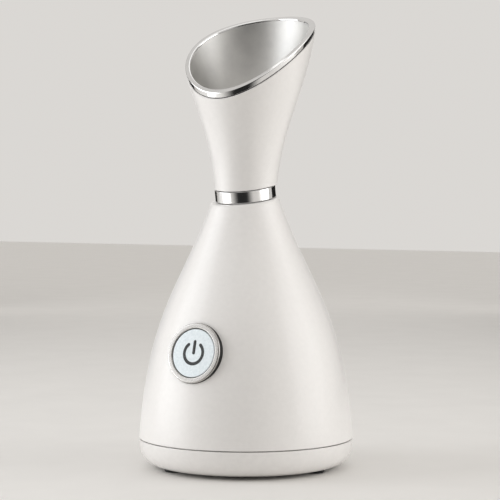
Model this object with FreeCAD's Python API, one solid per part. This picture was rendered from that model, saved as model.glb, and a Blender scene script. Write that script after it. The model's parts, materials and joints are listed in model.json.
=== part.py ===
import FreeCAD, Part
import math
import os

from FreeCAD import Placement, Rotation, Vector

# Facial steamer, millimetres. Z is up from the feet, the button faces -Y, X is to its right.

# casing
bodyRadius = 60.0         # widest, at the seam
seamHeight = 16.5         # floor to the seam between base and shell
seamGap = 0.6
shellWall = 2.4
footHeight = 1.6
footRadius = 6.0
footCircle = 44.0         # feet, and the screws above them
footAngles = (0, 120, 240)

# neck and nozzle
neckHeight = 150.3        # floor to the slanted neck joint, on the axis
neckTilt = 10.3           # degrees, low side at the front
ringRadius = 17.15
ringHeight = 7.1          # between the shell's neck and the nozzle, along the tilted axis
ringGap = 0.35
boreRadius = 9.0          # steam way through the coupling
mouthRadius = 12.4        # inside of the tank's mouth
swivelRadius = 13.0
swivelFit = 0.05
nozzleWall = 1.7
rimArc = 153.5            # the rim is cut along an arc in side view
rimCentre = Vector(0, 89.4, 106.9)
rimGap = 0.4
trimHeight = 3.0
linerArc = 155.5
linerDepth = 2.65         # the metal liner lies this far inside the nozzle's skin
linerWall = 0.8
linerShift = -0.7         # the liner sits towards the front, so the lip is widest at the back

# power button
buttonHeight = 67.7
buttonTilt = 14.5         # degrees that its face looks up
buttonDepth = 52.4        # distance of its face from the axis
bezelRadius = 16.5
discRadius = 13.25
discGap = 0.3
stemRadius = 3.0
stemFit = 0.06
buttonTravel = 1.0

# inside
deckHeight = 20.8         # underside of the inner frame's deck
deckThick = 2.4
tankFloor = 86.0
tankWall = 1.6
boilerRadius = 17.0
boilerFloor = 30.1
boilerTop = 54.0
postCircle = 24.0         # posts that carry the boiler
postAngles = (30, 150, 270)
legCircle = 34.0          # legs that carry the tank
legAngles = (90, 225, 315)
boardSize = Vector(20, 40, 1.6)
boardCorner = Vector(-47, -20, 33)
inletHeight = 32.0
inletFace = 57.6          # rear face of the mains inlet, from the axis
pinPitch = 8.6
pinRadius = 1.2
hugeSize = 400.0
origin = Vector(0, 0, 0)
up = Vector(0, 0, 1)

neckFrame = Placement(Vector(0, 0, neckHeight), Rotation(Vector(1, 0, 0), neckTilt))
buttonFrame = Placement(
    Vector(0, -buttonDepth, buttonHeight), Rotation(Vector(1, 0, 0), 90 - buttonTilt)
)


def save(name, shape):
    os.makedirs("parts", exist_ok=True)
    shape.exportStep("parts/" + name + ".step")


def placed(shape, frame):
    moved = shape.copy()
    moved.Placement = frame.multiply(moved.Placement)
    return moved


def polar(radius, degrees, height=0.0):
    angle = math.radians(degrees)
    return Vector(radius * math.cos(angle), radius * math.sin(angle), height)


def rod(radius, low, high, centre=origin):
    return Part.makeCylinder(radius, high - low, Vector(centre.x, centre.y, low), up)


def ring(inner, outer, low, high, centre=origin):
    return rod(outer, low, high, centre).cut(rod(inner, low - 1, high + 1, centre))


def block(size, centre):
    corner = centre - size * 0.5
    return Part.makeBox(size.x, size.y, size.z, corner)


def turned(points):
    """A closed outline of (radius, height) pairs, turned about Z."""
    corners = [Vector(r, 0, z) for r, z in points]
    face = Part.Face(Part.makePolygon(corners + corners[:1]))
    return face.revolve(origin, up, 360)


def turnedOutline(*curves):
    """The solid between the axis and an outline of curves that runs upwards."""
    low = curves[0].value(curves[0].FirstParameter)
    high = curves[-1].value(curves[-1].LastParameter)
    lowAxis = Vector(0, 0, low.z)
    highAxis = Vector(0, 0, high.z)
    edges = [Part.makeLine(lowAxis, low)]
    edges += [curve.toShape() for curve in curves]
    edges += [Part.makeLine(high, highAxis), Part.makeLine(highAxis, lowAxis)]
    return Part.Face(Part.Wire(edges)).revolve(origin, up, 360)


def bezier(*points):
    """A smooth outline; its points are (radius, height) pairs."""
    curve = Part.BezierCurve()
    curve.setPoles([Vector(r, 0, z) for r, z in points])
    return curve


def inset(curve, depth, count=10):
    """An outline moved inwards by depth."""
    span = curve.LastParameter - curve.FirstParameter
    points = []
    for step in range(count):
        at = curve.FirstParameter + span * step / (count - 1)
        along = curve.tangent(at)[0]
        outward = Vector(along.z, 0, -along.x)
        points.append(curve.value(at) - outward * depth)
    moved = Part.BSplineCurve()
    moved.interpolate(points)
    return moved


def slab(low, high):
    """Everything between two heights."""
    return Part.makeBox(
        hugeSize, hugeSize, high - low, Vector(-hugeSize / 2, -hugeSize / 2, low)
    )


def neckSlab(low, high):
    """Everything between two heights of the tilted neck frame."""
    return placed(slab(low, high), neckFrame)


def rimDrum(radius):
    """The drum across X whose surface cuts the slanted rim."""
    start = rimCentre - Vector(hugeSize / 2, 0, 0)
    return Part.makeCylinder(radius, hugeSize, start, Vector(1, 0, 0))


def rimEdges(shape, radius, wantOuter):
    """The closed edges of a rim that lie on the drum of this radius."""
    found = []
    for edge in shape.Edges:
        middle = edge.valueAt((edge.FirstParameter + edge.LastParameter) / 2)
        reach = math.hypot(middle.y - rimCentre.y, middle.z - rimCentre.z)
        if abs(reach - radius) < 0.01 and edge.Length > 50:
            found.append(edge)
    found.sort(key=lambda edge: edge.Length)
    return [found[-1]] if wantOuter else [found[0]]


# outlines of the casing
seam = seamHeight
bodyCurve = bezier(
    (bodyRadius, seam),
    (58.8, seam + 24.4),
    (52.9, seam + 63.3),
    (46.5, seam + 76.9),
    (28.5, seam + 101.6),
    (16.7, seam + 140.5),
)
nozzleCurve = bezier(
    (17.3, seam + 136.5), (20.0, seam + 181.6), (37.8, seam + 195.1), (40.1, seam + 242)
)
baseCurve = bezier(
    (48.0, footHeight),
    (56.5, footHeight),
    (bodyRadius, seam - 8.5),
    (bodyRadius, seam - seamGap / 2),
)
throatCurve = bezier((9.2, 164), (9.2, 180), (20.05, 186.9), (23.0, 196))
linerCurve = bezier((23.0, 196), (28.9, 214.2), (35.8, 229.8), (37.4, 257))


def bodyShell():
    skin = turnedOutline(bodyCurve).common(neckSlab(-hugeSize, 0))
    neckEdge = [e for e in skin.Edges if e.BoundBox.ZMin > neckHeight - 8 and e.Length > 60]
    skin = skin.makeFillet(1.0, neckEdge)
    skin = skin.common(slab(seamHeight + seamGap / 2, hugeSize))
    hollow = turnedOutline(inset(bodyCurve, shellWall)).common(neckSlab(-hugeSize, -3.0))
    shell = skin.cut(hollow)
    shell = shell.cut(placed(rod(mouthRadius + 2.2, -6, 2), neckFrame))
    shell = shell.cut(hollowBelow(shellWall))
    for angle in footAngles:
        at = polar(footCircle, angle)
        rib = block(Vector(14, 2.5, 12), Vector(footCircle + 8, 0, 30))
        rib.rotate(origin, up, angle)
        boss = rod(4.0, deckHeight + deckThick + 0.2, 36, at).fuse(rib)
        shell = shell.fuse(boss.common(turnedOutline(inset(bodyCurve, 0.5))))
        shell = shell.cut(rod(1.55, deckHeight, 34, at))
    shell = shell.cut(placed(rod(bezelRadius + 0.15, -12, 6), buttonFrame))
    shell = shell.cut(inletBlank(0.2, 30))
    return shell.removeSplitter()


def hollowBelow(wall):
    """Clears the plug that the seam's flat cut leaves inside the shell."""
    return rod(bodyRadius - wall - 0.25, seamHeight - 1, seamHeight + 3)


def baseCover():
    cover = turnedOutline(baseCurve)
    lipTop = deckHeight - 0.1
    cover = cover.fuse(rod(57.1, seamHeight - 3, lipTop))
    floor = footHeight + 2.4
    cover = cover.cut(
        turned([(0, floor), (47, floor), (55.2, floor + 7.5), (55.2, 30), (0, 30)])
    )
    for angle in footAngles:
        at = polar(footCircle, angle)
        cover = cover.fuse(rod(4.6, floor - 1, lipTop, at))
        cover = cover.cut(rod(3.2, 0, 8, at))
        cover = cover.cut(rod(1.7, 7, 30, at))
    return cover.removeSplitter()


def rubberFeet():
    feet = []
    for angle in footAngles:
        at = polar(footCircle, angle)
        pad = rod(footRadius, 0, footHeight, at)
        lower = [e for e in pad.Edges if e.BoundBox.ZMax < 0.1]
        pad = pad.makeFillet(0.5, lower)
        feet.append(pad.fuse(rod(3.0, footHeight, 4.4, at)).removeSplitter())
    return Part.makeCompound(feet)


def screw(headRadius, headLow, headHigh, shankRadius, tip, at=origin):
    """A pan-head screw along Z with a cross slot; tip is the far end of its shank."""
    head = rod(headRadius, headLow, headHigh, at)
    upwards = tip > headHigh
    slotFace = headLow if upwards else headHigh
    centre = Vector(at.x, at.y, slotFace)
    for size in (Vector(headRadius * 1.2, 0.6, 1.2), Vector(0.6, headRadius * 1.2, 1.2)):
        head = head.cut(block(size, centre))
    seat = headHigh if upwards else headLow
    shank = rod(shankRadius, min(seat, tip), max(seat, tip), at)
    return head.fuse(shank)


def baseScrews():
    screws = [screw(2.8, 5.8, 8.0, 1.5, 33, polar(footCircle, a)) for a in footAngles]
    return Part.makeCompound(screws)


def innerFrame():
    top = deckHeight + deckThick
    frame = rod(56.0, deckHeight, top)
    for angle in footAngles:
        frame = frame.cut(rod(1.9, deckHeight - 1, top + 1, polar(footCircle, angle)))
    for angle in postAngles:
        at = polar(postCircle, angle)
        frame = frame.fuse(rod(4.5, top - 1, 26.1, at)).fuse(rod(3.0, top, 54.5, at))
        frame = frame.cut(rod(1.5, 44, 60, at))
    for angle in legAngles:
        frame = frame.fuse(rod(3.0, top - 1, tankFloor - 2, polar(legCircle, angle)))
    frame = frame.fuse(ring(30, 39, tankFloor - 3, tankFloor - 0.4))
    for at in boardHoles():
        frame = frame.fuse(rod(2.3, top - 1, boardCorner.z - 0.1, at))
        frame = frame.cut(rod(0.9, 26, 40, at))
    vents = [rod(3.0, deckHeight - 1, top + 1, polar(12, 60 * step)) for step in range(6)]
    return frame.cut(Part.makeCompound(vents)).removeSplitter()


def waterTank():
    tank = turnedOutline(inset(bodyCurve, shellWall + 1.2)).common(slab(tankFloor, hugeSize))
    tank = tank.common(neckSlab(-hugeSize, -3.4))
    tank = tank.fuse(placed(rod(mouthRadius + 1.8, -14, -0.6), neckFrame))
    depth = shellWall + 1.2 + tankWall
    room = turnedOutline(inset(bodyCurve, depth)).common(slab(tankFloor + tankWall, hugeSize))
    room = room.common(neckSlab(-hugeSize, -3.4 - tankWall))
    tank = tank.cut(room).cut(placed(rod(mouthRadius, -16, 4), neckFrame))
    tank = tank.fuse(rod(6.2, tankFloor, 142))
    tank = tank.cut(rod(5.0, tankFloor - 1, 150))
    tank = tank.fuse(rod(1.8, tankFloor - 5, tankFloor + 1, hoseTop()))
    tank = tank.cut(rod(1.1, tankFloor - 9, tankFloor + 2, hoseTop()))
    return tank.removeSplitter()


def steamTube():
    return ring(3.5, 4.7, 58.2, 143.5)


def hoseTop():
    return Vector(24, 10, 0)


def hoseBottom():
    return Vector(11, 6, 0)


def waterHose():
    straight = Vector(0, 0, 5.5)
    top = hoseTop() + Vector(0, 0, tankFloor - 0.4)
    bottom = hoseBottom() + Vector(0, 0, 58)
    reach = Vector(0, 0, 9)
    bend = Part.BezierCurve()
    bend.setPoles(
        [top - straight, top - straight - reach, bottom + straight + reach, bottom + straight]
    )
    ends = [Part.makeLine(top, top - straight), Part.makeLine(bottom + straight, bottom)]
    path = Part.Wire([ends[0], bend.toShape(), ends[1]])
    tubes = []
    for radius in (3.2, 1.9):
        start = Part.Wire(Part.makeCircle(radius, top, Vector(0, 0, -1)))
        tubes.append(path.makePipeShell([start], True, False))
    return tubes[0].cut(tubes[1])


def boilerPot():
    return turned(
        [
            (0, boilerFloor),
            (boilerRadius, boilerFloor),
            (boilerRadius, boilerTop - 1.5),
            (20, boilerTop - 1.5),
            (20, boilerTop),
            (boilerRadius - 1.5, boilerTop),
            (boilerRadius - 1.5, boilerFloor + 2),
            (0, boilerFloor + 2),
        ]
    )


def boilerGasket():
    return ring(17.4, 19.6, boilerTop + 0.05, boilerTop + 0.55)


def boilerLid():
    low = boilerTop + 0.6
    high = low + 3
    lid = rod(20, low, high)
    for angle in postAngles:
        ear = block(Vector(14, 9, 3), Vector(postCircle - 3, 0, low + 1.5))
        ear.rotate(origin, up, angle)
        at = polar(postCircle, angle)
        lid = lid.fuse(ear).fuse(rod(4.5, low, high, at))
        lid = lid.cut(rod(1.6, low - 1, high + 1, at))
    lid = lid.fuse(rod(3.3, low, 66)).cut(rod(2.3, low - 1, 70))
    nipple = hoseBottom()
    lid = lid.fuse(rod(1.8, low, 63, nipple)).cut(rod(1.1, low - 1, 70, nipple))
    return lid.removeSplitter()


def boilerScrews():
    head = boilerTop + 3.7
    screws = []
    for angle in postAngles:
        screws.append(screw(2.8, head, head + 2.2, 1.45, 45, polar(postCircle, angle)))
    return Part.makeCompound(screws)


def heaterPlate():
    plate = rod(14, 27.3, 30.0)
    for side in (-1, 1):
        tab = block(Vector(5, 4, 0.8), Vector(16, side * 4, 28.6))
        tab.rotate(origin, up, 90)
        plate = plate.fuse(tab)
    return plate


def heaterClamp():
    clamp = rod(16, 26.2, 27.2)
    for angle in postAngles:
        ear = block(Vector(14, 10, 1), Vector(postCircle - 4, 0, 26.7))
        ear.rotate(origin, up, angle)
        at = polar(postCircle, angle)
        clamp = clamp.fuse(ear).fuse(rod(5, 26.2, 27.2, at)).cut(rod(3.15, 26, 28, at))
    return clamp.removeSplitter()


def sensorBand():
    return ring(boilerRadius + 0.15, boilerRadius + 0.65, 38, 46)


def thermostat():
    start = Vector(-boilerRadius - 0.75, 0, 42)
    can = Part.makeCylinder(6, 4.5, start, Vector(-1, 0, 0))
    cap = Part.makeCylinder(4.5, 2, start - Vector(4.5, 0, 0), Vector(-1, 0, 0))
    body = can.fuse(cap)
    for side in (-1, 1):
        body = body.fuse(block(Vector(3, 0.8, 4), Vector(-25, side * 2.5, 42)))
    return body


def thermalFuse():
    return rod(2.0, 36, 47, polar(boilerRadius + 2.75, -20))


def boardHoles():
    holes = []
    for x in (2.5, boardSize.x - 2.5):
        for y in (2.5, boardSize.y - 2.5):
            holes.append(Vector(boardCorner.x + x, boardCorner.y + y, 0))
    return holes


def mainBoard():
    board = Part.makeBox(boardSize.x, boardSize.y, boardSize.z, boardCorner)
    for at in boardHoles():
        board = board.cut(rod(1.0, 30, 40, at))
    return board


def boardTop():
    return boardCorner.z + boardSize.z


def boardScrews():
    top = boardTop()
    return Part.makeCompound(
        [screw(1.9, top + 0.05, top + 1.4, 0.85, 27, at) for at in boardHoles()]
    )


def boardTransformer():
    core = block(Vector(12, 13, 8), Vector(-37, 7.5, boardTop() + 4))
    return core.fuse(block(Vector(9, 16, 10), Vector(-37, 7.5, boardTop() + 5)))


def boardCapacitor():
    can = rod(4.5, boardTop(), boardTop() + 14, Vector(-37, -6, 0))
    return can.makeFillet(0.6, [e for e in can.Edges if e.BoundBox.ZMin > boardTop() + 13])


def boardRelay():
    return block(Vector(10, 6, 8), Vector(-37, -15.5, boardTop() + 4))


def ionGenerator():
    deck = deckHeight + deckThick
    module = block(Vector(16, 26, 14), Vector(38, 0, deck + 7.1))
    module = module.makeFillet(1.0, [e for e in module.Edges if abs(e.Length - 14) < 0.1])
    module = module.cut(block(Vector(13, 23, 2), Vector(38, 0, deck + 14.1)))
    module.rotate(origin, up, 45)
    return module


def inletBlank(clearance, depth):
    """The inlet's flange, a rounded oblong, run forwards from outside the shell."""
    width = 25 + 2 * clearance
    height = 15 + 2 * clearance
    centre = Vector(0, inletFace + 8 - depth / 2, inletHeight)
    flange = block(Vector(width, depth, height), centre)
    return flange.makeFillet(3, [e for e in flange.Edges if abs(e.Length - depth) < 0.01])


def mainsInlet():
    flange = inletBlank(0, 12).common(block(Vector(40, 4, 40), Vector(0, inletFace - 2, inletHeight)))
    body = block(Vector(21, 16, 11.6), Vector(0, inletFace - 10, inletHeight))
    inlet = flange.fuse(body)
    socket = block(Vector(8, 12, 8.4), Vector(0, inletFace - 5, inletHeight))
    for side in (-1, 1):
        start = Vector(side * 4.1, inletFace - 11, inletHeight)
        socket = socket.fuse(Part.makeCylinder(4.2, 12, start, Vector(0, 1, 0)))
    inlet = inlet.cut(socket)
    for side in (-1, 1):
        inlet = inlet.cut(inletPin(side, 0))
    return inlet.removeSplitter()


def inletPin(side, taper):
    start = Vector(side * pinPitch / 2, inletFace - 20, inletHeight)
    pin = Part.makeCylinder(pinRadius, 18, start, Vector(0, 1, 0))
    if not taper:
        return pin
    tip = [e for e in pin.Edges if e.BoundBox.YMin > inletFace - 2.5]
    return pin.makeFillet(taper, tip)


def inletPins():
    return Part.makeCompound([inletPin(side, 0.8) for side in (-1, 1)])


def buttonBezel():
    inner = discRadius + discGap
    face = ring(inner, bezelRadius, -0.2, 0.9)
    top = [e for e in face.Edges if e.BoundBox.ZMin > 0.8]
    face = face.makeFillet(0.6, top)
    bezel = face.fuse(ring(inner, 15.6, -4.0, -0.2)).removeSplitter()
    return placed(bezel, buttonFrame)


def bezelSeal():
    return placed(ring(15.65, bezelRadius, -4.0, -0.25), buttonFrame)


def powerButton():
    disc = rod(discRadius, -2.0, 0.5)
    disc = disc.makeFillet(0.45, [e for e in disc.Edges if e.BoundBox.ZMin > 0.4])
    disc = disc.fuse(rod(stemRadius, -10.4, -2.0)).removeSplitter()
    return placed(disc, buttonFrame)


def powerIcon():
    """The standard power sign: an open circle, and a bar in its gap."""
    outer = 6.75
    stroke = 1.75
    middle = outer - stroke / 2
    gap = 40
    face = 0.5
    thick = 0.12
    arc = Part.makeCylinder(outer, thick, Vector(0, 0, face), up, 360 - 2 * gap)
    arc = arc.cut(rod(outer - stroke, 0, 2))
    arc.rotate(origin, up, 90 + gap)
    for angle in (90 + gap, 90 - gap):
        arc = arc.fuse(rod(stroke / 2, face, face + thick, polar(middle, angle)))
    low = 0.1
    high = 6.2
    bar = block(
        Vector(stroke, high - low, thick), Vector(0, (low + high) / 2, face + thick / 2)
    )
    for y in (low, high):
        bar = bar.fuse(rod(stroke / 2, face, face + thick, Vector(0, y, 0)))
    icon = [arc.removeSplitter(), bar.removeSplitter()]
    return placed(Part.makeCompound(icon), buttonFrame)


def buttonCarrier():
    carrier = ring(13.9, 15.4, -10.0, -4.1)
    carrier = carrier.fuse(rod(15.4, -10.0, -8.5)).fuse(rod(5.5, -10.0, -6.0))
    carrier = carrier.cut(rod(stemRadius + stemFit, -20, 0))
    for side in (-1, 1):
        at = Vector(side * 9.5, 0, 0)
        carrier = carrier.fuse(rod(2.0, -15.0, -9.0, at)).cut(rod(0.8, -16, -10.5, at))
    return placed(carrier.removeSplitter(), buttonFrame)


def buttonSpring():
    """Drawn at its pressed length, so that it clears the disc over the whole travel."""
    coil = 4.3
    seat = -5.6
    room = -2.0 - buttonTravel - seat
    helix = Part.makeHelix(0.8, room - 0.6, coil)
    wire = Part.Wire(Part.makeCircle(0.25, Vector(coil, 0, 0), Vector(0, 1, 0)))
    spring = Part.Wire(helix.Edges).makePipeShell([wire], True, True)
    spring.translate(Vector(0, 0, seat))
    spring.rotate(Vector(), Vector(0, 0, 1), 90)
    return placed(spring, buttonFrame)


def switchPlunger():
    return placed(rod(1.75, -12.6, -10.45), buttonFrame)


def tactSwitch():
    housing = block(Vector(6.2, 6.2, 3.1), Vector(0, 0, -13.45))
    housing = housing.cut(rod(1.8, -14.0, -11))
    for x in (-1, 1):
        for y in (-1, 1):
            leg = block(Vector(0.9, 0.7, 0.3), Vector(x * 3.5, y * 2.2, -14.8))
            housing = housing.fuse(leg)
    return placed(housing, buttonFrame)


def buttonBoard():
    board = block(Vector(24, 18, 1.5), Vector(0, 0, -15.85))
    for side in (-1, 1):
        board = board.cut(rod(1.0, -18, -14, Vector(side * 9.5, 0, 0)))
    return placed(board, buttonFrame)


def buttonScrews():
    screws = []
    for side in (-1, 1):
        screws.append(screw(1.8, -17.9, -16.65, 0.75, -11.5, Vector(side * 9.5, 0, 0)))
    return placed(Part.makeCompound(screws), buttonFrame)


def neckRing():
    band = ring(15.1, ringRadius, ringGap, ringHeight - ringGap)
    edges = [e for e in band.Edges if e.Length > 2 * math.pi * ringRadius - 1]
    edges = [e for e in edges if e.Closed and e.BoundBox.ZLength < 0.01]
    return placed(band.makeFillet(0.3, edges), neckFrame)


def neckCoupling():
    seat = ringHeight - 0.15
    coupling = turned(
        [
            (boreRadius, -12),
            (mouthRadius - 0.4, -12),
            (mouthRadius - 0.4, 0.3),
            (15.0, 0.3),
            (15.0, seat),
            (swivelRadius, seat),
            (swivelRadius, 11.9),
            (swivelRadius + 0.6, 12.3),
            (swivelRadius + 0.6, 12.8),
            (swivelRadius, 13.8),
            (boreRadius, 13.8),
        ]
    )
    return placed(coupling, neckFrame)


def neckSeal():
    return placed(ring(mouthRadius - 0.35, mouthRadius + 1.8, -0.25, 0.25), neckFrame)


def nozzleShell():
    shell = turnedOutline(nozzleCurve).common(neckSlab(ringHeight, hugeSize))
    hollow = turnedOutline(inset(nozzleCurve, nozzleWall)).common(neckSlab(16, hugeSize))
    shell = shell.cut(hollow).common(rimDrum(rimArc))
    bore = rod(swivelRadius + swivelFit, 0, 20).fuse(
        turned([(0, 11.3), (13.2, 11.3), (14.1, 11.9), (14.1, 13.2), (13.2, 14.2), (0, 14.2)])
    )
    return shell.cut(placed(bore, neckFrame)).removeSplitter()


def nozzleFunnel():
    throat = 9.2
    outside = turnedOutline(throatCurve, linerCurve).fuse(rod(throat, 158, 164))
    inside = turnedOutline(inset(throatCurve, linerWall), inset(linerCurve, linerWall))
    inside = inside.fuse(rod(throat - linerWall, 150, 164))
    liner = outside.cut(inside).removeSplitter()
    liner.translate(Vector(0, linerShift, 0))
    return liner.common(rimDrum(linerArc - 0.1)).common(neckSlab(14.3, hugeSize))


def rimGasket():
    gasket = turnedOutline(inset(nozzleCurve, 0.5)).cut(turnedOutline(inset(nozzleCurve, nozzleWall)))
    return gasket.common(rimDrum(rimArc + rimGap - 0.02)).cut(rimDrum(rimArc + 0.02))


def nozzleTrim():
    """A cap over the edges of the nozzle and of the liner, which stands in a step on its inside."""
    trim = turnedOutline(inset(nozzleCurve, 0.4))
    inside = turnedOutline(inset(nozzleCurve, linerDepth + linerWall))
    step = turnedOutline(inset(nozzleCurve, linerDepth - 0.1)).common(rimDrum(linerArc))
    inside = inside.fuse(step)
    inside.translate(Vector(0, linerShift, 0))
    high = rimArc + trimHeight
    trim = trim.cut(inside).common(rimDrum(high)).cut(rimDrum(rimArc + rimGap))
    trim = trim.makeFillet(0.5, rimEdges(trim, high, True))
    return trim.makeFillet(0.7, rimEdges(trim, high, False))


save("body_shell", bodyShell())
save("base_cover", baseCover())
save("rubber_feet", rubberFeet())
save("base_screws", baseScrews())
save("inner_frame", innerFrame())
save("water_tank", waterTank())
save("steam_tube", steamTube())
save("water_hose", waterHose())
save("boiler_pot", boilerPot())
save("boiler_gasket", boilerGasket())
save("boiler_lid", boilerLid())
save("boiler_screws", boilerScrews())
save("heater_plate", heaterPlate())
save("heater_clamp", heaterClamp())
save("sensor_band", sensorBand())
save("thermostat", thermostat())
save("thermal_fuse", thermalFuse())
save("main_board", mainBoard())
save("board_screws", boardScrews())
save("board_transformer", boardTransformer())
save("board_capacitor", boardCapacitor())
save("board_relay", boardRelay())
save("ion_generator", ionGenerator())
save("mains_inlet", mainsInlet())
save("inlet_pins", inletPins())
save("button_bezel", buttonBezel())
save("bezel_seal", bezelSeal())
save("power_button", powerButton())
save("power_icon", powerIcon())
save("button_carrier", buttonCarrier())
save("button_spring", buttonSpring())
save("switch_plunger", switchPlunger())
save("tact_switch", tactSwitch())
save("button_board", buttonBoard())
save("button_screws", buttonScrews())
save("neck_ring", neckRing())
save("neck_coupling", neckCoupling())
save("neck_seal", neckSeal())
save("nozzle_shell", nozzleShell())
save("nozzle_funnel", nozzleFunnel())
save("rim_gasket", rimGasket())
save("nozzle_trim", nozzleTrim())
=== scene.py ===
import json
import math

import bmesh
import bpy
import numpy as np
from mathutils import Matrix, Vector


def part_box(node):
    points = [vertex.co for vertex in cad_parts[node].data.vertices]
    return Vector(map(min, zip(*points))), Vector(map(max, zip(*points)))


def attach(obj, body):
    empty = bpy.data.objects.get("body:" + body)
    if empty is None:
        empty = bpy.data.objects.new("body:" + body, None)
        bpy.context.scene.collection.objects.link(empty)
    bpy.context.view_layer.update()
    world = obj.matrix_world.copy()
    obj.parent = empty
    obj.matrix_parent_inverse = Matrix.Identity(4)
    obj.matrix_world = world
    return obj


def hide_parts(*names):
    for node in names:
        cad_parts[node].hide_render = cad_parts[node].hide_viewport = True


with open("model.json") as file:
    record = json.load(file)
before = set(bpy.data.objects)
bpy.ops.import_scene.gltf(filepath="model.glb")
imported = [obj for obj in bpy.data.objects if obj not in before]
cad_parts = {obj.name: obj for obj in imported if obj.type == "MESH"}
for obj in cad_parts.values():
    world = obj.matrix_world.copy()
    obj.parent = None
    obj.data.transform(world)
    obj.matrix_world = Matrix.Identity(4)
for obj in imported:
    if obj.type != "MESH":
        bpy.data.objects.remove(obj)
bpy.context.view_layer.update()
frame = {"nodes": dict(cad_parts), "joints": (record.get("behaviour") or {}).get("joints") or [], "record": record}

mm = 0.001
weld = 0.0005  # mm: points closer than this are one
seamGap = 0.6  # between the shell's foot and the base's top
outlinePoints = 400  # read off each of the casing's long outlines


# measures read from the frame, in millimetres

def jointOf(name):
    return next(joint for joint in frame["joints"] if joint["name"] == name)


def corners(node):  # the low and the high corner of a node's box
    low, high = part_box(node)
    return np.array(low) / mm, np.array(high) / mm


neckPoint = np.array(jointOf("nozzle_swivel")["pos_m"], float) / mm
neckAxis = np.array(jointOf("nozzle_swivel")["axis"], float)
pressAxis = np.array(jointOf("button_press")["axis"], float)
faceAxis = -pressAxis / np.linalg.norm(pressAxis)
sealMiddle = 2.125  # the seal's middle lies this far behind the button's datum
buttonPoint = sum(corners("bezel_seal")) / 2 + faceAxis * sealMiddle
floorOfBase = corners("base_cover")[0][2]
seam = corners("body_shell")[0][2] - seamGap / 2
upright = np.array([0.0, 0.0, 1.0])
sideways = np.array([1.0, 0.0, 0.0])
centre = np.zeros(3)


# curves and grids

def bezier(points, count):  # the points added up, each weighted by C(n,i) (1-t)^(n-i) t^i
    points = np.array(points, float)
    n = len(points) - 1
    t = np.linspace(0, 1, count)[:, None]
    return sum(math.comb(n, i) * (1 - t) ** (n - i) * t**i * points[i] for i in range(n + 1))


def raised(points):  # a Bezier outline whose heights count from the seam
    return bezier([(r, seam + z) for r, z in points], outlinePoints)


def inset(line, depth):  # each point moves against the outward normal (dz, -dr) of its outline
    step = np.gradient(line, axis=0)
    normal = np.stack([step[:, 1], -step[:, 0]], axis=1)
    return line - depth * normal / np.linalg.norm(normal, axis=1, keepdims=True)


def turned(line, count, point=centre, axis=upright):
    # each (r, h) goes all round the axis: point + r (side cos a + across sin a) + h axis
    angles = np.linspace(0, 2 * math.pi, count, endpoint=False)
    across = np.cross(axis, sideways)
    around = np.cos(angles)[:, None] * sideways + np.sin(angles)[:, None] * across
    return point + line[:, 0, None, None] * around + line[:, 1, None, None] * axis


def neckCircle(radius, height, count):  # one row: a circle about the neck's tilted axis
    return turned(np.array([[radius, height]]), count, neckPoint, neckAxis)


def cutAt(field):  # where each column of a rising field passes 0: row - low / (high - low)
    first = np.maximum((field > 0).argmax(axis=0), 1)
    column = np.arange(field.shape[1])
    low, high = field[first - 1, column], field[first, column]
    return first - 1 + np.clip(-low / (high - low), 0, 1)


def trimmed(line, count, low, high, rows, shift=0.0):
    # a turned outline between two cutting surfaces: in each column the rows are evenly spaced
    # from one cut to the other, and r and z are read off the outline there
    whole = turned(line, count)
    whole[..., 1] += shift
    start, end = cutAt(low(whole)), cutAt(high(whole))
    at = start + (end - start) * np.linspace(0, 1, rows)[:, None]
    places = np.arange(len(line))
    r, z = np.interp(at, places, line[:, 0]), np.interp(at, places, line[:, 1])
    angles = np.linspace(0, 2 * math.pi, count, endpoint=False)
    return np.stack([r * np.cos(angles), r * np.sin(angles) + shift, z], axis=-1)


def overNeck(height):  # distance above a plane across the neck's axis: (p - point) . axis - height
    return lambda p: (p - neckPoint) @ neckAxis - height


def overFloor(height):  # distance above a level plane: z - height
    return lambda p: p[..., 2] - height


def outsideDrum(radius):  # distance outside the drum along X that cuts the rim: hypot(dy, dz) - radius
    y, z = nozzle["rimCentre"]
    return lambda p: np.hypot(p[..., 1] - y, p[..., 2] - z) - radius


def straight(*ends):  # a run of one column through the given (r, z) points
    return np.array(ends, float)[:, None]


def shortened(run, size):
    # the run ends this far before its corner, the last row: corner + size (row - corner) / |row - corner|
    spare = 1.02  # a row this little past the new end is dropped too
    corner = run[-1]
    far = np.linalg.norm((run - corner).reshape(len(run), -1, run.shape[-1]), axis=-1).mean(axis=1)
    kept = run[far > size * spare]
    step = kept[-1] - corner
    end = corner + step * size / np.linalg.norm(step, axis=-1, keepdims=True)
    return np.concatenate([kept, end[None]])


def joined(runs, sizes, closed=True, steps=5):
    # runs that share their end rows become one section, and size i rounds the corner before run i:
    # (1-t)^2 start + 2t(1-t) corner + t^2 end
    made = []
    for i, run in enumerate(runs):
        after = sizes[(i + 1) % len(runs)] if closed or i + 1 < len(runs) else 0
        body = shortened(run, after) if after else run
        body = shortened(body[::-1], sizes[i])[::-1] if sizes[i] else body
        made.append((body, run[-1], after))
    rows = []
    for i, (body, corner, after) in enumerate(made):
        last = not closed and i + 1 == len(made)
        rows.append(body if after or last else body[:-1])
        if after:
            start, end = body[-1], made[(i + 1) % len(made)][0][0]
            for t in np.linspace(0, 1, steps + 2)[1:-1]:
                rows.append(((1 - t) ** 2 * start + 2 * t * (1 - t) * corner + t * t * end)[None])
    return np.concatenate(rows)


def ringOf(*parts):
    # the parts in turn, each joined to the next by a straight run: its last row and the next one's
    # first; a part of one row is only a corner
    runs = []
    for part, after in zip(parts, parts[1:] + parts[:1]):
        runs += [part] if len(part) > 1 else []
        runs.append(np.concatenate([part[-1:], after[:1]]))
    return runs


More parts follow.
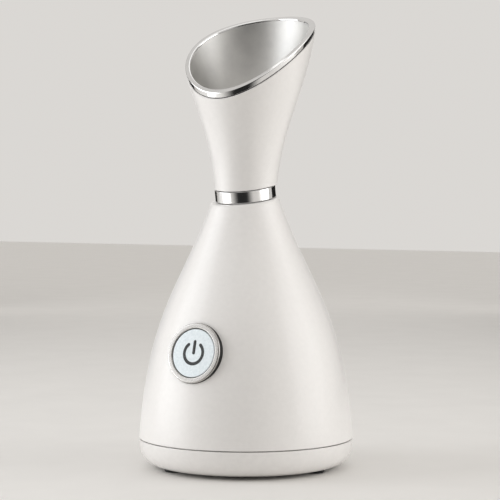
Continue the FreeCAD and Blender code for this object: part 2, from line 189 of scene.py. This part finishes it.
def outline(points, sizes, closed=True):  # a profile of straight runs with rounded corners
    points = np.array(points, float)
    ends = np.roll(points, -1, axis=0) if closed else points[1:]
    return joined([straight(a, b) for a, b in zip(points, ends)], sizes, closed)[:, 0]


def gridPiece(name, grid, closed=True):
    # quads between each point, the one beside it, and the two in the next row
    rows, columns = grid.shape[:2]
    index = np.arange(rows * columns).reshape(rows, columns)
    beside = np.roll(index, -1, axis=1)
    quads = np.stack([index, beside, np.roll(beside, -1, axis=0), np.roll(index, -1, axis=0)], axis=-1)
    quads = quads.reshape(-1, 4) if closed else quads[:-1].reshape(-1, 4)
    mesh = bpy.data.meshes.new(name)
    mesh.vertices.add(rows * columns)
    mesh.vertices.foreach_set("co", (grid * mm).astype(np.float32).ravel())
    mesh.loops.add(quads.size)
    mesh.loops.foreach_set("vertex_index", quads.astype(np.int32).ravel())
    mesh.polygons.add(len(quads))
    mesh.polygons.foreach_set("loop_start", np.arange(0, quads.size, 4, dtype=np.int32))
    mesh.update(calc_edges=True)
    piece = bpy.data.objects.new(name, mesh)
    bpy.context.collection.objects.link(piece)
    return piece


def closePoles(piece, extra=None):
    # a row that is all one point becomes one point; an extra piece is taken in, faces turned outwards
    work = bmesh.new()
    work.from_mesh(piece.data)
    if extra:
        work.from_mesh(extra.data)
        bpy.data.objects.remove(extra)
    bmesh.ops.remove_doubles(work, verts=work.verts, dist=weld * mm)
    if extra:
        bmesh.ops.recalc_face_normals(work, faces=work.faces)
    work.to_mesh(piece.data)
    work.free()


def finished(piece, body, material, node, sharp=50):
    # smooth faces, hard edges past an angle, flat faces kept flat, then the body it rides
    piece.data.polygons.foreach_set("use_smooth", np.ones(len(piece.data.polygons), bool))
    piece.data.set_sharp_from_angle(angle=math.radians(sharp))
    weigh = piece.modifiers.new("flatFaces", "WEIGHTED_NORMAL")
    weigh.keep_sharp = True
    piece.data.materials.clear()
    piece.data.materials.append(material)
    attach(piece, body)
    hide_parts(node)


def cutAway(piece, cutter):  # takes the cutter's space out of the piece for good
    change = piece.modifiers.new("opening", "BOOLEAN")
    change.operation = "DIFFERENCE"
    change.solver = "EXACT"
    change.object = cutter
    graph = bpy.context.evaluated_depsgraph_get()
    mesh = bpy.data.meshes.new_from_object(piece.evaluated_get(graph))
    piece.modifiers.clear()
    piece.data = mesh
    bpy.data.objects.remove(cutter)


# materials

def linear(hexColour):  # sRGB hex to linear: ((c + 0.055) / 1.055) ^ 2.4 above 0.04045
    parts = [int(hexColour[i:i + 2], 16) / 255 for i in (1, 3, 5)]
    return [*(c / 12.92 if c <= 0.04045 else ((c + 0.055) / 1.055) ** 2.4 for c in parts), 1.0]


def addNode(tree, kind, values=None, links=None, **settings):
    node = tree.nodes.new(kind)
    for name, value in settings.items():
        setattr(node, name, value)
    for name, value in (values or {}).items():
        node.inputs[name].default_value = value
    for name, source in (links or {}).items():
        tree.links.new(source, node.inputs[name])
    return node


def newMaterial(name, **values):
    material = bpy.data.materials.new(name)
    material.use_nodes = True
    tree = material.node_tree
    shader = tree.nodes["Principled BSDF"]
    for key, value in values.items():
        shader.inputs[key.replace("_", " ")].default_value = value
    place = addNode(tree, "ShaderNodeTexCoord").outputs["Object"]
    return material, tree, shader, place


def mottled(tree, shader, place, grain, colours, rough=None, bump=None, stretch=(1, 1, 1)):
    # one noise, its grain in mm, drives colour, gloss and height together
    turn = addNode(tree, "ShaderNodeMapping", {"Scale": stretch}, {"Vector": place})
    noise = addNode(tree, "ShaderNodeTexNoise", {"Scale": 1 / (grain * mm), "Detail": 4.0},
                    {"Vector": turn.outputs["Vector"]})
    tint = addNode(tree, "ShaderNodeValToRGB", links={"Fac": noise.outputs["Fac"]})
    spread = (0.3, 0.7)  # most of the noise lies between these
    for stop, at, colour in zip(tint.color_ramp.elements, spread, colours):
        stop.position = at
        stop.color = linear(colour)
    tree.links.new(tint.outputs["Color"], shader.inputs["Base Color"])
    if rough:
        gloss = addNode(tree, "ShaderNodeMapRange", {"To Min": rough[0], "To Max": rough[1]},
                        {"Value": noise.outputs["Fac"]})
        tree.links.new(gloss.outputs["Result"], shader.inputs["Roughness"])
    if bump:
        height = addNode(tree, "ShaderNodeBump", {"Strength": bump[0], "Distance": bump[1] * mm},
                         {"Height": noise.outputs["Fac"]})
        tree.links.new(height.outputs["Normal"], shader.inputs["Normal"])


def surface(name, colours, grain, rough=None, bump=None, stretch=(1, 1, 1), **values):
    material, tree, shader, place = newMaterial(name, **values)
    mottled(tree, shader, place, grain, colours, rough, bump, stretch)
    return material


def satinMouldedAbs():  # moulded ABS with a satin gloss: soft broad highlights, a trace of orange peel
    return surface("satinMouldedAbs", ("#F3F1EF", "#F6F4F2"), 2.4, (0.30, 0.36), (0.05, 0.02),
                   IOR=1.53, Coat_Weight=0.25, Coat_Roughness=0.18)


def polishedMouldedAbs():  # ABS from a polished mould: tighter highlights along the rounded edge
    return surface("polishedMouldedAbs", ("#F1EFED", "#F5F3F1"), 3.0, (0.20, 0.26), (0.04, 0.02),
                   IOR=1.53, Coat_Weight=0.6, Coat_Roughness=0.06)


def chromePlatedAbs():  # bright plating over plastic: a mirror with a faint haze where it has been wiped
    return surface("chromePlatedAbs", ("#E2E2E2", "#EAEAEA"), 6.0, (0.06, 0.11), (0.02, 0.01),
                   stretch=(1, 1, 0.3), Metallic=1.0)


def spunSatinSteel():  # spun liner: turning lines round the funnel and a soft grey sheen
    material, tree, shader, place = newMaterial("spunSatinSteel", Metallic=1.0, Anisotropic=0.3)
    mottled(tree, shader, place, 9.0, ("#C3C2C0", "#CFCECB"), (0.40, 0.48))
    lineStep = 0.5  # mm, several times the real lines' spacing, so that they show
    flat = addNode(tree, "ShaderNodeMapping", {"Scale": (0.02, 0.02, 1)}, {"Vector": place})  # level bands
    lines = addNode(tree, "ShaderNodeTexNoise", {"Scale": 1 / (lineStep * mm), "Detail": 2.0},
                    {"Vector": flat.outputs["Vector"]})
    height = addNode(tree, "ShaderNodeBump", {"Strength": 0.12, "Distance": 0.01 * mm},
                     {"Height": lines.outputs["Fac"]})
    tree.links.new(height.outputs["Normal"], shader.inputs["Normal"])
    return material


def satinLacqueredRing():  # silver lacquer on a moulded ring: bright, with blurred reflections
    return surface("satinLacqueredRing", ("#B3B1AF", "#BDBBB8"), 0.5, (0.18, 0.24), (0.008, 0.005),
                   Metallic=0.95, Coat_Weight=0.2, Coat_Roughness=0.2)


def pearlLacqueredDisc():  # pearl lacquer: pale blue grey with a fine cloudy fleck
    return surface("pearlLacqueredDisc", ("#CFD8DC", "#E0E7EA"), 1.1, (0.30, 0.40), (0.10, 0.01),
                   Metallic=0.35, Coat_Weight=0.4, Coat_Roughness=0.12)


def screenPrintedInk():  # matt ink, slightly grainy from the mesh
    return surface("screenPrintedInk", ("#26282A", "#303335"), 0.25, (0.45, 0.6), (0.1, 0.01))


# finishes that only show with the head off, from behind or from below; by slot, each has its name,
# two colours, its grain in mm (coarser than the real one, so that it shows), roughness and the rest
metal = {"Metallic": 1.0}
styrene = {"IOR": 1.53}
innerFinishes = {
    "black_rubber": (  # deep dull black with no highlight
        "mouldedRubber", ("#0E0E0E", "#191919"), 0.4, (0.6, 0.75), {}),
    "zinc_steel": (  # bright grey with a cloudy sparkle
        "zincPlatedSteel", ("#A9ABA8", "#C4C6C2"), 0.6, (0.25, 0.4), metal),
    "frame_abs": (  # even off-white, hardly any gloss
        "mattMouldedAbs", ("#D3D2CE", "#DCDBD7"), 0.8, (0.45, 0.55), styrene),
    "silicone": (  # milky, and a little light comes through
        "mouldedSilicone", ("#D9DCDC", "#E6E8E8"), 1.0, (0.4, 0.5),
        {"IOR": 1.41, "Transmission_Weight": 0.35}),
    "cast_aluminium": (  # frosted grey with a blurred shine
        "dieCastAluminium", ("#A8A9A8", "#BCBDBC"), 0.7, (0.35, 0.5), metal),
    "black_pps": (  # grainy near-black from its glass fibres
        "glassFilledPps", ("#111112", "#1C1C1D"), 0.4, (0.45, 0.6), {}),
    "spring_steel": (  # clear thin highlights along the wire
        "drawnSpringSteel", ("#9B9C9D", "#B4B5B6"), 0.3, (0.2, 0.3), metal),
    "sheet_steel": (  # flat grey with a broad sheen
        "stampedSheetSteel", ("#9FA09F", "#B0B1B0"), 1.5, (0.3, 0.4), metal),
    "heater_alloy": (  # warm grey, dulled by heat
        "sheathedAluminium", ("#9C9A96", "#B2B0AB"), 1.0, (0.35, 0.5), metal),
    "board_laminate": (  # clear green with a glassy sheen
        "fibreglassLaminate", ("#1E5A34", "#2A6A3E"), 0.5, (0.3, 0.4), {}),
    "core_tape": (  # amber yellow, dull as cloth tape is
        "wovenCoreTape", ("#C5A63A", "#D3B54C"), 0.6, (0.5, 0.6), {}),
    "can_sleeve": (  # blue black with a tight plastic shine
        "shrinkSleeve", ("#141A26", "#1C2434"), 1.0, (0.2, 0.3), {}),
    "relay_blue": (  # strong blue with a moulded gloss
        "relayHousing", ("#1F3F6E", "#284A7C"), 1.0, (0.25, 0.35), {}),
    "inlet_nylon": (  # black with a soft waxy shine
        "mouldedNylon", ("#121213", "#1A1A1B"), 0.5, (0.35, 0.5), {}),
    "pin_brass": (  # pale yellow mirror
        "nickelPlatedBrass", ("#C9BFA0", "#D8CFB4"), 0.6, (0.15, 0.25), metal),
    "coupling_abs": (  # plain grey with a low gloss
        "greyMouldedAbs", ("#B9B9B7", "#C6C6C4"), 0.9, (0.35, 0.45), styrene),
    "clear_pp": (  # frosted and see-through, bluish at its edges
        "translucentPolypropylene", ("#DCE4E8", "#E8EEF1"), 1.6, (0.25, 0.35),
        {"IOR": 1.49, "Transmission_Weight": 0.6}),
}
innerBump = (0.1, 0.02)  # strength, and height in mm


# pieces of the casing: "outline" is one Bezier curve of (radius, height over the seam), and "edges" are
# the roundings before each run of a section, 0 for a sharp corner

shell = {
    "outline": [(60.0, 0.0), (58.8, 24.4), (52.9, 63.3), (46.5, 76.9), (28.5, 101.6), (16.7, 140.5)],
    "wall": 2.4,
    "mouth": 14.6,
    "lipDepth": 3.0,
    "edges": [0.25, 1.0, 0.3, 0, 0, 0],
    "columns": 320,
    "rows": 130,
}
buttonHole = {
    "radius": 16.65,
    "depth": (-12, 6),  # from inside to outside, along the button's axis
    "columns": 97,  # odd, so that none of its corners lies on the shell's own grid
}
inletHole = {
    "clearance": 0.2,  # round the inlet's flange
    "corner": 3.2,
    "depth": (-14, 8),  # from the flange's face
    "columns": 64,
}


def buttonCutter():
    p = buttonHole
    low, high = p["depth"]
    line = outline([(0, low), (p["radius"], low), (p["radius"], high), (0, high)], [0, 0, 0], closed=False)
    cutter = gridPiece("buttonCutter", turned(line, p["columns"], buttonPoint, faceAxis), closed=False)
    closePoles(cutter)
    return cutter


def inletCutter():
    # a rounded rectangle run along Y: a circle whose quarters are moved out to the corners
    p = inletHole
    low, high = corners("mains_inlet")
    half = ((high - low) / 2 + p["clearance"])[[0, 2]]
    turn = np.linspace(0, 2 * math.pi, p["columns"], endpoint=False)
    edge = np.stack([np.cos(turn), np.sin(turn)], axis=1) * p["corner"]
    edge = edge + np.sign(edge) * (half - p["corner"])
    depths = np.repeat(high[1] + np.array(p["depth"]), 2)[:, None]
    sizes = np.array([0, 1, 1, 0])[:, None]  # a point closes each end
    grid = np.empty((4, p["columns"], 3))
    grid[..., 0] = -edge[:, 0] * sizes
    grid[..., 1] = depths
    grid[..., 2] = (low[2] + high[2]) / 2 + edge[:, 1] * sizes
    cutter = gridPiece("inletCutter", grid, closed=False)
    closePoles(cutter)
    return cutter


def bellShell(material):
    p = shell
    outer = raised(p["outline"])
    inner = inset(outer, p["wall"])
    n = p["columns"]
    bottom = overFloor(seam + seamGap / 2)
    up = trimmed(outer, n, bottom, overNeck(0), p["rows"])
    down = trimmed(inner, n, bottom, overNeck(-p["lipDepth"]), p["rows"] // 2)[::-1]
    mouthTop = neckCircle(p["mouth"], 0, n)
    mouthLow = neckCircle(p["mouth"], -p["lipDepth"], n)
    piece = gridPiece("bell_shell", joined(ringOf(up, mouthTop, mouthLow, down), p["edges"]))
    cutAway(piece, buttonCutter())
    cutAway(piece, inletCutter())
    finished(piece, "base", material, "body_shell", sharp=35)


tub = {
    "flat": 48.0,  # radius of the level underside
    "heel": 56.5,  # the edge's curve sets off towards this radius
    "radius": 60.0,
    "shoulder": 8.5,  # and arrives from this far under the seam
    "floor": 2.4,
    "lip": (57.1, 55.2),  # outer and inner radius of the lip inside the shell
    "lipTop": 20.7,  # over the floor
    "fillet": (47.0, 7.5),  # the floor slopes up from this radius, to this height at the wall
    "edges": [0, 0, 0.3, 0, 0.2, 0.2, 1, 2],
    "columns": 320,
    "rows": 70,  # in the outside curve
}


def baseTub(material):
    p = tub
    top = seam - seamGap / 2
    curve = [(p["flat"], floorOfBase), (p["heel"], floorOfBase)]
    curve += [(p["radius"], seam - p["shoulder"]), (p["radius"], top)]
    outerLip, innerLip = p["lip"]
    slope, rise = p["fillet"]
    inside = floorOfBase + p["floor"]
    runs = [
        straight((0, floorOfBase), (p["flat"] / 2, floorOfBase), curve[0]),
        bezier(curve, p["rows"])[:, None],
        straight((p["radius"], top), (outerLip, top)),
        straight((outerLip, top), (outerLip, p["lipTop"])),
        straight((outerLip, p["lipTop"]), (innerLip, p["lipTop"])),
        straight((innerLip, p["lipTop"]), (innerLip, inside + rise)),
        straight((innerLip, inside + rise), (slope, inside)),
        straight((slope, inside), (0, inside)),
    ]
    line = joined(runs, p["edges"], closed=False)[:, 0]
    piece = gridPiece("base_tub", turned(line, p["columns"]), closed=False)
    closePoles(piece)
    finished(piece, "base", material, "base_cover")


nozzle = {
    "outline": [(17.3, 136.5), (20.0, 181.6), (37.8, 195.1), (40.1, 242.0)],
    "wall": 1.7,
    "foot": 7.1,  # over the neck joint
    "sleeve": 16.0,
    "bore": 13.05,
    "rimCentre": (89.4, 106.9),  # Y and Z of the drum that cuts the rim
    "rimArc": 153.5,
    "edges": [0.35, 0.15, 0, 0, 0, 0.2],
    "columns": 320,
    "rows": (130, 60),  # outside and inside
}


def nozzleHorn(material):
    p = nozzle
    outer = raised(p["outline"])
    inner = inset(outer, p["wall"])
    n = p["columns"]
    rim = outsideDrum(p["rimArc"])
    up = trimmed(outer, n, overNeck(p["foot"]), rim, p["rows"][0])
    down = trimmed(inner, n, overNeck(p["sleeve"]), rim, p["rows"][1])[::-1]
    boreTop = neckCircle(p["bore"], p["sleeve"], n)
    boreLow = neckCircle(p["bore"], p["foot"], n)
    piece = gridPiece("nozzle_horn", joined(ringOf(up, down, boreTop, boreLow), p["edges"]))
    finished(piece, "nozzle", material, "nozzle_shell")


trim = {
    "inside": 0.4,  # its outer face lies this far inside the nozzle's outline
    "height": 3.0,
    "gap": 0.4,
    "depth": 3.45,
    "step": 2.55,  # the liner's edge stands in this step
    "stepArc": 155.5,
    "shift": -0.7,  # its hole and the liner lie this far towards the low lip
    "edges": [0.2, 0.5, 0.7, 0.1, 0, 0],
    "rows": (8, 5, 5),  # outer face, lip and step
}


def rimTrim(material):
    p = trim
    curve = raised(nozzle["outline"])
    low = outsideDrum(nozzle["rimArc"] + p["gap"])
    middle = outsideDrum(p["stepArc"])
    high = outsideDrum(nozzle["rimArc"] + p["height"])
    n = nozzle["columns"]
    faceRows, lipRows, stepRows = p["rows"]
    up = trimmed(inset(curve, p["inside"]), n, low, high, faceRows)
    lip = trimmed(inset(curve, p["depth"]), n, middle, high, lipRows, p["shift"])[::-1]
    recess = trimmed(inset(curve, p["step"]), n, low, middle, stepRows, p["shift"])[::-1]
    piece = gridPiece("rim_trim", joined(ringOf(up, lip, recess), p["edges"], steps=7))
    finished(piece, "nozzle", material, "nozzle_trim")


liner = {
    "tube": (158, 163.5, 12),  # heights over the floor, and rows, of the straight stretch at the foot
    "throat": [(9.2, 164), (9.2, 180), (20.05, 186.9), (23.0, 196)],
    "bell": [(23.0, 196), (28.9, 214.2), (35.8, 229.8), (37.4, 257)],
    "wall": 0.8,
    "foot": 14.3,  # over the neck joint
    "play": 0.1,  # under the trim's step
    "edges": [0.1, 0.15, 0.15, 0.1],
    "curvePoints": (120, 220),  # in the throat and in the bell
    "rows": 110,
}


def funnelLiner(material):
    p = liner
    radius = p["throat"][0][0]
    tube = np.array([(radius, z) for z in np.linspace(*p["tube"])])
    throatPoints, bellPoints = p["curvePoints"]
    curve = np.concatenate([tube, bezier(p["throat"], throatPoints), bezier(p["bell"], bellPoints)[1:]])
    foot, rim = overNeck(p["foot"]), outsideDrum(trim["stepArc"] - p["play"])
    n = nozzle["columns"]
    up = trimmed(curve, n, foot, rim, p["rows"], trim["shift"])
    down = trimmed(inset(curve, p["wall"]), n, foot, rim, p["rows"], trim["shift"])[::-1]
    piece = gridPiece("funnel_liner", joined(ringOf(up, down), p["edges"], steps=3))
    finished(piece, "nozzle", material, "nozzle_funnel")


ring = {
    "inside": 15.1,
    "outside": 17.15,
    "low": 0.35,  # over the neck joint
    "high": 6.75,
    "edges": [0.3, 0.3, 0.1, 0.1],
    "columns": 256,
}


def neckBand(material):
    p = ring
    inner, outer, low, high = p["inside"], p["outside"], p["low"], p["high"]
    line = outline([(outer, low), (outer, high), (inner, high), (inner, low)], p["edges"])
    piece = gridPiece("neck_band", turned(line, p["columns"], neckPoint, neckAxis))
    finished(piece, "head", material, "neck_ring")


# power button: heights are along its axis, outwards from its datum

bezel = {
    "inside": 13.55,
    "outside": 16.5,
    "top": 0.9,
    "flange": -0.2,
    "skirt": 15.6,
    "foot": -4,
    "edges": [0.1, 0, 0.12, 0.75, 0.55, 0.1],
    "columns": 192,
}
disc = {
    "radius": 13.25,
    "face": 0.5,
    "back": -2,
    "stem": 3,
    "stemFoot": -10.4,
    "edges": [0, 0.3, 0, 0.3, 0.45],
    "columns": 192,
}
sign = {
    "radius": 5.875,
    "stroke": 1.75,
    "gap": 40,  # degrees on each side of the bar
    "bar": (0.1, 6.2),
    "thick": 0.12,
    "bevel": 0.05,
    "ends": 9,  # rows in each round end
    "rows": 60,
}


def bezelRing(material):
    p = bezel
    line = outline([(p["skirt"], p["foot"]), (p["skirt"], p["flange"]), (p["outside"], p["flange"]),
                    (p["outside"], p["top"]), (p["inside"], p["top"]), (p["inside"], p["foot"])], p["edges"])
    piece = gridPiece("bezel_ring", turned(line, p["columns"], buttonPoint, faceAxis))
    finished(piece, "base", material, "button_bezel")


def pressDisc(material):
    p = disc
    line = outline([(0, p["stemFoot"]), (p["stem"], p["stemFoot"]), (p["stem"], p["back"]),
                    (p["radius"], p["back"]), (p["radius"], p["face"]), (0, p["face"])],
                   p["edges"], closed=False)
    piece = gridPiece("press_disc", turned(line, p["columns"], buttonPoint, faceAxis), closed=False)
    closePoles(piece)
    finished(piece, "button", material, "power_button")


def onButton(points):  # datum + x side + y up the face + z along the button's axis
    across = np.cross(faceAxis, sideways)
    return buttonPoint + points[..., :1] * sideways + points[..., 1:2] * across + points[..., 2:] * faceAxis


def signCircle(s):  # s mm along an open circle: radius (cos a, sin a), with a = start + s / radius
    angle = math.radians(90 + sign["gap"]) + s / sign["radius"]
    spoke = np.stack([np.cos(angle), np.sin(angle)], axis=1)
    return spoke * sign["radius"], -spoke


def signBar(s):  # s mm up the bar, which is widened sideways
    none = np.zeros_like(s)
    return np.stack([none, sign["bar"][0] + s], axis=1), np.stack([none + 1, none], axis=1)


def stroked(path, length):
    # a stroke with round ends: its half width is sqrt(r^2 - d^2) at d past each end of its path
    p = sign
    r = p["stroke"] / 2
    turn = np.linspace(0, math.pi / 2, p["ends"])
    start, end = -r * np.cos(turn), length + r * np.sin(turn)
    places = np.concatenate([start, np.linspace(0, length, p["rows"])[1:-1], end])
    half = np.concatenate([r * np.sin(turn), np.full(p["rows"] - 2, r), r * np.cos(turn)])
    low, high = disc["face"], disc["face"] + p["thick"]
    edge = np.minimum(half, p["bevel"])
    section = np.stack([-half, -half, -half + edge, half - edge, half, half], axis=1)
    middle, normal = path(places)
    grid = np.empty((len(places), 6, 3))
    grid[..., :2] = middle[:, None] + section[..., None] * normal[:, None]
    grid[..., 2] = [low, high - p["bevel"], high, high, high - p["bevel"], low]
    return onButton(grid)


def powerSign(material):  # an open circle with a bar in its gap
    sweep = math.radians(360 - 2 * sign["gap"])
    low, high = sign["bar"]
    piece = gridPiece("power_sign", stroked(signCircle, sweep * sign["radius"]), closed=False)
    closePoles(piece, gridPiece("signBar", stroked(signBar, high - low), closed=False))
    finished(piece, "button", material, "power_icon")


# studio: places are (side, nearer, height) in metres, to the camera's right and towards it from the
# body's axis; powers are in watts

studio = {
    "azimuth": 32.24,  # degrees, from the front towards +X
    "distance": 1.0103,
    "height": 0.1587,  # over the floor
    "pitch": 2.10,
    "yaw": 0.13,
    "focal": 129.6,
    "sensor": 36,
    "reach": 50,
    "world": (0.80, "#F1EEEA"),
    "aim": 0.13,  # all the lights point at this height on the axis
    "lights": {  # place, size, power, colour
        "keyLeft": ((-1.05, 0.0, 0.35), (0.8, 1.1), 6.0, "#F8FBFF"),
        "lowLeft": ((-0.42, 0.10, 0.03), (0.3, 0.3), 0.22, "#FFFFFF"),
        "fillRight": ((0.98, 0.22, 0.35), (0.8, 1.0), 4.2, "#FFFFFF"),
        "overhead": ((0.0, -0.1, 1.3), (0.9, 0.9), 1.5, "#FFFFFF"),
    },
    "floorHalf": 3.0,
    "floorColours": ("#E6E4E1", "#E9E7E4"),
    "clothCorners": [(-0.27, 0.15), (0.15, 0.20), (0.95, 1.3), (-1.9, 1.3)],  # laid on the floor in front
    "clothLift": 0.002,
    "sheerAngles": ((-60, -24), (34, 4)),  # degrees round from the camera, clear to black
    "flags": {  # left foot, right foot, height, and whether the cloth is sheer
        "darkFlag": ((-1.9, 1.3), (0.95, 1.3), 0.9, True),
        "edgeLeft": ((-0.95, -1.0), (-0.40, -1.2), 0.7, False),
        "edgeRight": ((0.40, -1.2), (1.1, -0.6), 0.7, False),
    },
}


def placedRound(side, nearer, height):  # axis + side right + nearer towards + height up
    a = math.radians(studio["azimuth"])
    right = Vector((math.cos(a), math.sin(a), 0))
    towards = Vector((math.sin(a), -math.cos(a), 0))
    return right * side + towards * nearer + Vector((0, 0, height))


def makeCamera():
    p = studio
    data = bpy.data.cameras.new("camera")
    data.lens = p["focal"]
    data.sensor_width = p["sensor"]
    data.clip_end = p["reach"]
    camera = bpy.data.objects.new("camera", data)
    bpy.context.collection.objects.link(camera)
    camera.location = placedRound(0, p["distance"], p["height"])
    turn = math.radians(p["azimuth"] - p["yaw"])
    camera.rotation_euler = (math.radians(90 - p["pitch"]), 0, turn)
    bpy.context.scene.camera = camera


def softbox(name, place, size, power, colour):
    data = bpy.data.lights.new(name, "AREA")
    data.shape = "RECTANGLE"
    data.size, data.size_y = size
    data.energy = power
    data.color = linear(colour)[:3]
    lamp = bpy.data.objects.new(name, data)
    bpy.context.collection.objects.link(lamp)
    lamp.location = placedRound(*place)
    aim = Vector((0, 0, studio["aim"])) - lamp.location
    lamp.rotation_mode = "QUATERNION"
    lamp.rotation_quaternion = aim.to_track_quat("-Z", "Y")


def card(name, points, material):  # a flat card of cloth or board
    mesh = bpy.data.meshes.new(name)
    mesh.from_pydata([tuple(point) for point in points], [], [(0, 1, 2, 3)])
    mesh.materials.append(material)
    piece = bpy.data.objects.new(name, mesh)
    bpy.context.collection.objects.link(piece)
    return piece


def blackCloth(name, sheer):  # bright metal mirrors it as dark bands, with soft sides when it is sheer
    cloth, tree, shader, place = newMaterial(name, Roughness=0.9)
    mottled(tree, shader, place, 2, ("#050505", "#0A0A0A"))
    if not sheer:
        return cloth
    turn = (0, 0, -math.radians(studio["azimuth"]))
    along = addNode(tree, "ShaderNodeMapping", {"Rotation": turn}, {"Vector": place})
    parts = addNode(tree, "ShaderNodeSeparateXYZ", links={"Vector": along.outputs["Vector"]})
    nearer = addNode(tree, "ShaderNodeMath", {1: -1.0}, {0: parts.outputs["Y"]}, operation="MULTIPLY")
    angle = addNode(tree, "ShaderNodeMath", links={0: parts.outputs["X"], 1: nearer.outputs["Value"]},
                    operation="ARCTAN2")
    sides = []
    for clear, dark in studio["sheerAngles"]:
        ends = {"From Min": math.radians(clear), "From Max": math.radians(dark)}
        side = addNode(tree, "ShaderNodeMapRange", ends, {"Value": angle.outputs["Value"]},
                       interpolation_type="SMOOTHSTEP")
        sides.append(side.outputs["Result"])
    both = addNode(tree, "ShaderNodeMath", links=dict(enumerate(sides)), operation="MULTIPLY")
    tree.links.new(both.outputs["Value"], shader.inputs["Alpha"])
    return cloth


def makeStudio():
    p = studio
    for name, light in p["lights"].items():
        softbox(name, *light)
    world = bpy.data.worlds.new("paleRoom")
    world.use_nodes = True
    background = world.node_tree.nodes["Background"]
    strength, colour = p["world"]
    background.inputs["Color"].default_value = linear(colour)
    background.inputs["Strength"].default_value = strength
    bpy.context.scene.world = world
    bpy.context.scene.view_settings.view_transform = "Standard"
    half = p["floorHalf"]
    paint = surface("paleFloor", p["floorColours"], 40, Roughness=0.6)
    card("floor", [(-half, -half, 0), (half, -half, 0), (half, half, 0), (-half, half, 0)], paint)
    cloths = {True: blackCloth("sheerBlackCloth", True), False: blackCloth("blackCloth", False)}
    laid = card("darkCloth", [placedRound(*spot, p["clothLift"]) for spot in p["clothCorners"]], cloths[True])
    laid.visible_camera = laid.visible_diffuse = laid.visible_shadow = False  # only in reflections
    for name, (left, right, height, sheer) in p["flags"].items():
        foot = [placedRound(*left, 0), placedRound(*right, 0)]
        head = [placedRound(*right, height), placedRound(*left, height)]
        card(name, foot + head, cloths[sheer]).visible_camera = False


def dressInnerParts():  # the nodes that keep their own shape get their materials
    slotOf = {part["node"]: part["material_slot"] for part in frame["record"]["subparts"]}
    finishes = {}
    for slot, (name, colours, grain, rough, values) in innerFinishes.items():
        finishes[slot] = surface(name, colours, grain, rough, innerBump, **values)
    for node, part in frame["nodes"].items():
        if not part.hide_render and slotOf[node] in finishes:
            part.data.materials.clear()
            part.data.materials.append(finishes[slotOf[node]])


makeCamera()
makeStudio()
print("studio ready")

white = satinMouldedAbs()
chrome = chromePlatedAbs()
bellShell(white)
baseTub(polishedMouldedAbs())
print("body ready")
neckBand(chrome)
nozzleHorn(white)
rimTrim(chrome)
funnelLiner(spunSatinSteel())
print("head ready")
bezelRing(satinLacqueredRing())
pressDisc(pearlLacqueredDisc())
powerSign(screenPrintedInk())
print("button ready")
dressInnerParts()
print("inner parts ready")
